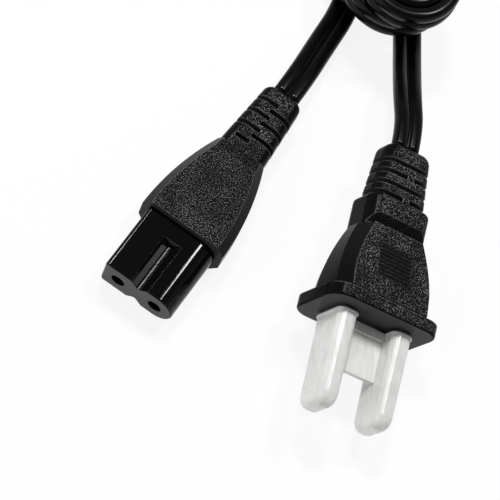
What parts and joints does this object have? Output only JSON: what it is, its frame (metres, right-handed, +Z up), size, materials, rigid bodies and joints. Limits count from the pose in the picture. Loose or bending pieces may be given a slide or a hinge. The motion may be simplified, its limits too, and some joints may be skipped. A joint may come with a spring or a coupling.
{
  "type": "power cord",
  "caption": "Flat twin mains lead with a polarised figure-eight connector, a two-blade plug under a push-on blade guard, and its spare cord folded into a tied hank.",
  "frame": {"origin": "middle of the connector's footprint on the table, the cord and what is on it left out", "axes": "+Z up from the table, +Y from the connector and plug towards the hank, +X from the connector towards the plug"},
  "size_m": [0.0841, 0.1823, 0.0246],
  "materials": {
    "nose": "polished black hard PVC",
    "overmould": "black PVC, spark-eroded grain on the flat faces and smooth satin sides",
    "contact": "bright formed brass",
    "copper": "bare copper strands, modelled solid",
    "cord": "black PVC cord, satin",
    "carrier": "black hard plastic",
    "guard": "milky translucent polyethylene",
    "tie": "black flat twist tie"
  },
  "bodies": {
    "cord_set": {"connector_nose": "nose", "connector_overmould": "overmould", "line_socket": "contact", "neutral_socket": "contact", "connector_line_copper": "copper", "connector_neutral_copper": "copper", "connector_cord_end": "cord", "plug_overmould": "overmould", "blade_carrier": "carrier", "line_blade": "contact", "neutral_blade": "contact", "plug_line_copper": "copper", "plug_neutral_copper": "copper", "plug_cord_end": "cord", "cord_to_connector": "cord", "cord_to_plug": "cord", "cord_hank": "cord", "hank_tie": "tie"},
    "guard": {"blade_guard": "guard"}
  },
  "joints": [
    {"name": "guard_slide", "type": "slide", "parent": "cord_set", "child": "guard", "axis": [-0.2283, -0.9734, -0.0192], "range_m": [0, 0.018]}
  ]
}
